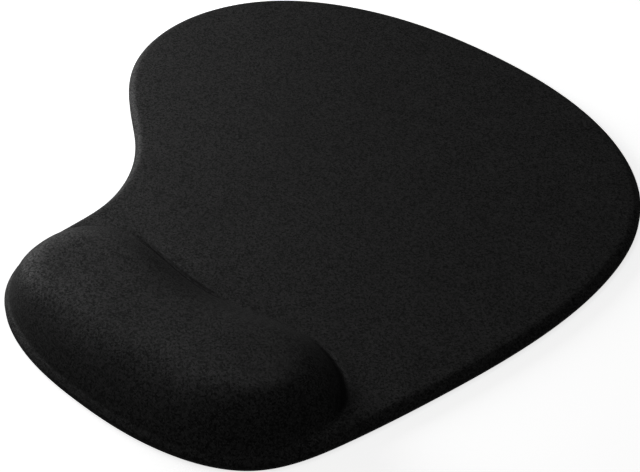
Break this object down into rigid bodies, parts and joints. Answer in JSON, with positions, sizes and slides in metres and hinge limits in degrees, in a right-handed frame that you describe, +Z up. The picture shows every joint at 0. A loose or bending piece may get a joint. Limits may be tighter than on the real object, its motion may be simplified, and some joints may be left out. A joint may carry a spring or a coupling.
{
  "type": "mouse mat with wrist rest",
  "caption": "Kidney-shaped flat mouse mat with a soft domed gel wrist rest along its front, built as a sandwich of knit cover, foam, sealed gel pouch and non-slip base.",
  "frame": {"origin": "middle of the bounding box in plan, at the underside that rests on the desk", "axes": "+X to the user's right, +Y away from the user across the mat, +Z up; the wrist rest lies along the -Y edge"},
  "size_m": [0.2209, 0.237, 0.0181],
  "materials": {
    "base_rubber": "matt black soft foam rubber with a fine embossed grip pattern",
    "adhesive_film": "milky translucent transfer adhesive",
    "mat_foam": "dark grey fine closed-cell foam",
    "pouch_film": "clear soft heat-sealed film",
    "gel": "translucent soft gel",
    "cover_knit": "matt black fine stretch knit"
  },
  "bodies": {
    "root": {"non_slip_base": "base_rubber", "base_bond_film": "adhesive_film", "foam_mat": "mat_foam", "pouch_adhesive_patch": "adhesive_film", "pouch_bottom_film": "pouch_film", "gel_core": "gel", "pouch_top_film": "pouch_film", "cover_bond_film": "adhesive_film", "cover_fabric": "cover_knit"}
  },
  "joints": []
}
